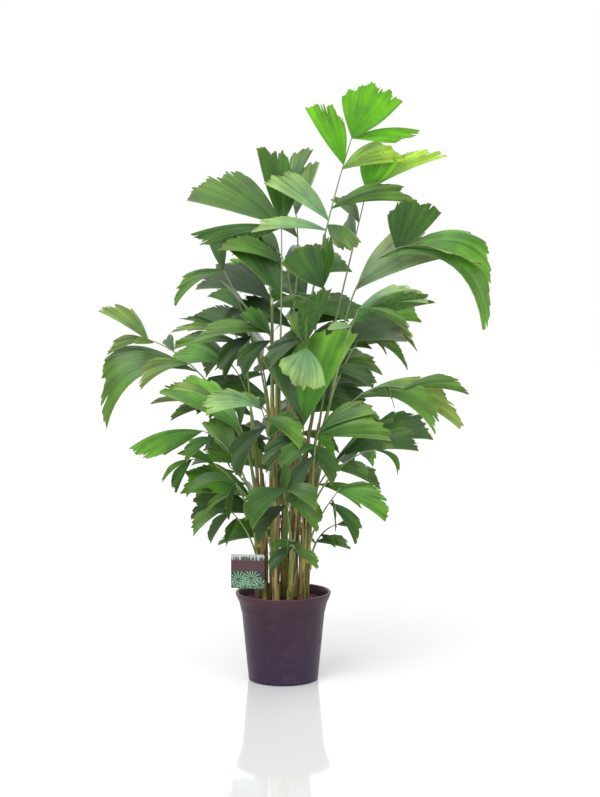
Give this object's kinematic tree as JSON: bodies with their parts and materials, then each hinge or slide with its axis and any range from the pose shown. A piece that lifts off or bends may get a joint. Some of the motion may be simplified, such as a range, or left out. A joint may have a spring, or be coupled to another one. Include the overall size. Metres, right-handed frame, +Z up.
{
  "type": "potted fishtail palm",
  "caption": "Tall clump of fishtail palm with ragged wedge-shaped leaflets on arching fronds, standing in a tapered round nursery pot of potting mix with a square plant label.",
  "frame": {"origin": "middle of the pot's flat underside", "axes": "+Z up through the middle of the pot; -Y is the front, the side that the plant label faces; +X to the right seen from the front"},
  "size_m": [0.9506, 0.6225, 1.4732],
  "materials": {
    "pot_plastic": "satin moulded dark aubergine plastic",
    "potting_mix": null,
    "cane": "yellow-green canes with straw and brown leaf sheaths",
    "leaf": null,
    "label_print": "printed plastic card with a maroon band and a plain leaf pattern",
    "stake_plastic": "dark matte plastic strip"
  },
  "bodies": {
    "root": {"pot": "pot_plastic", "potting_soil": "potting_mix", "label_card": "label_print", "label_stake": "stake_plastic", "stem_01": "cane", "stem_02": "cane", "stem_03": "cane", "stem_04": "cane", "stem_05": "cane", "stem_06": "cane", "stem_07": "cane", "stem_08": "cane", "stem_09": "cane", "stem_10": "cane", "stem_11": "cane", "stem_12": "cane", "stem_13": "cane", "stem_14": "cane", "stem_15": "cane", "stem_16": "cane", "frond_01": "leaf", "frond_02": "leaf", "frond_03": "leaf", "frond_04": "leaf", "frond_05": "leaf", "frond_06": "leaf", "frond_07": "leaf", "frond_08": "leaf", "frond_09": "leaf", "frond_10": "leaf", "frond_11": "leaf", "frond_12": "leaf", "frond_13": "leaf", "frond_14": "leaf", "frond_15": "leaf", "frond_16": "leaf", "frond_17": "leaf", "frond_18": "leaf", "frond_19": "leaf", "frond_20": "leaf", "frond_21": "leaf", "frond_22": "leaf", "frond_23": "leaf", "frond_24": "leaf", "frond_25": "leaf", "frond_26": "leaf", "frond_27": "leaf", "frond_28": "leaf", "frond_29": "leaf", "frond_30": "leaf", "frond_31": "leaf", "frond_32": "leaf", "frond_33": "leaf", "frond_34": "leaf", "frond_35": "leaf", "frond_36": "leaf", "frond_37": "leaf", "frond_38": "leaf", "frond_39": "leaf", "frond_40": "leaf"}
  },
  "joints": []
}
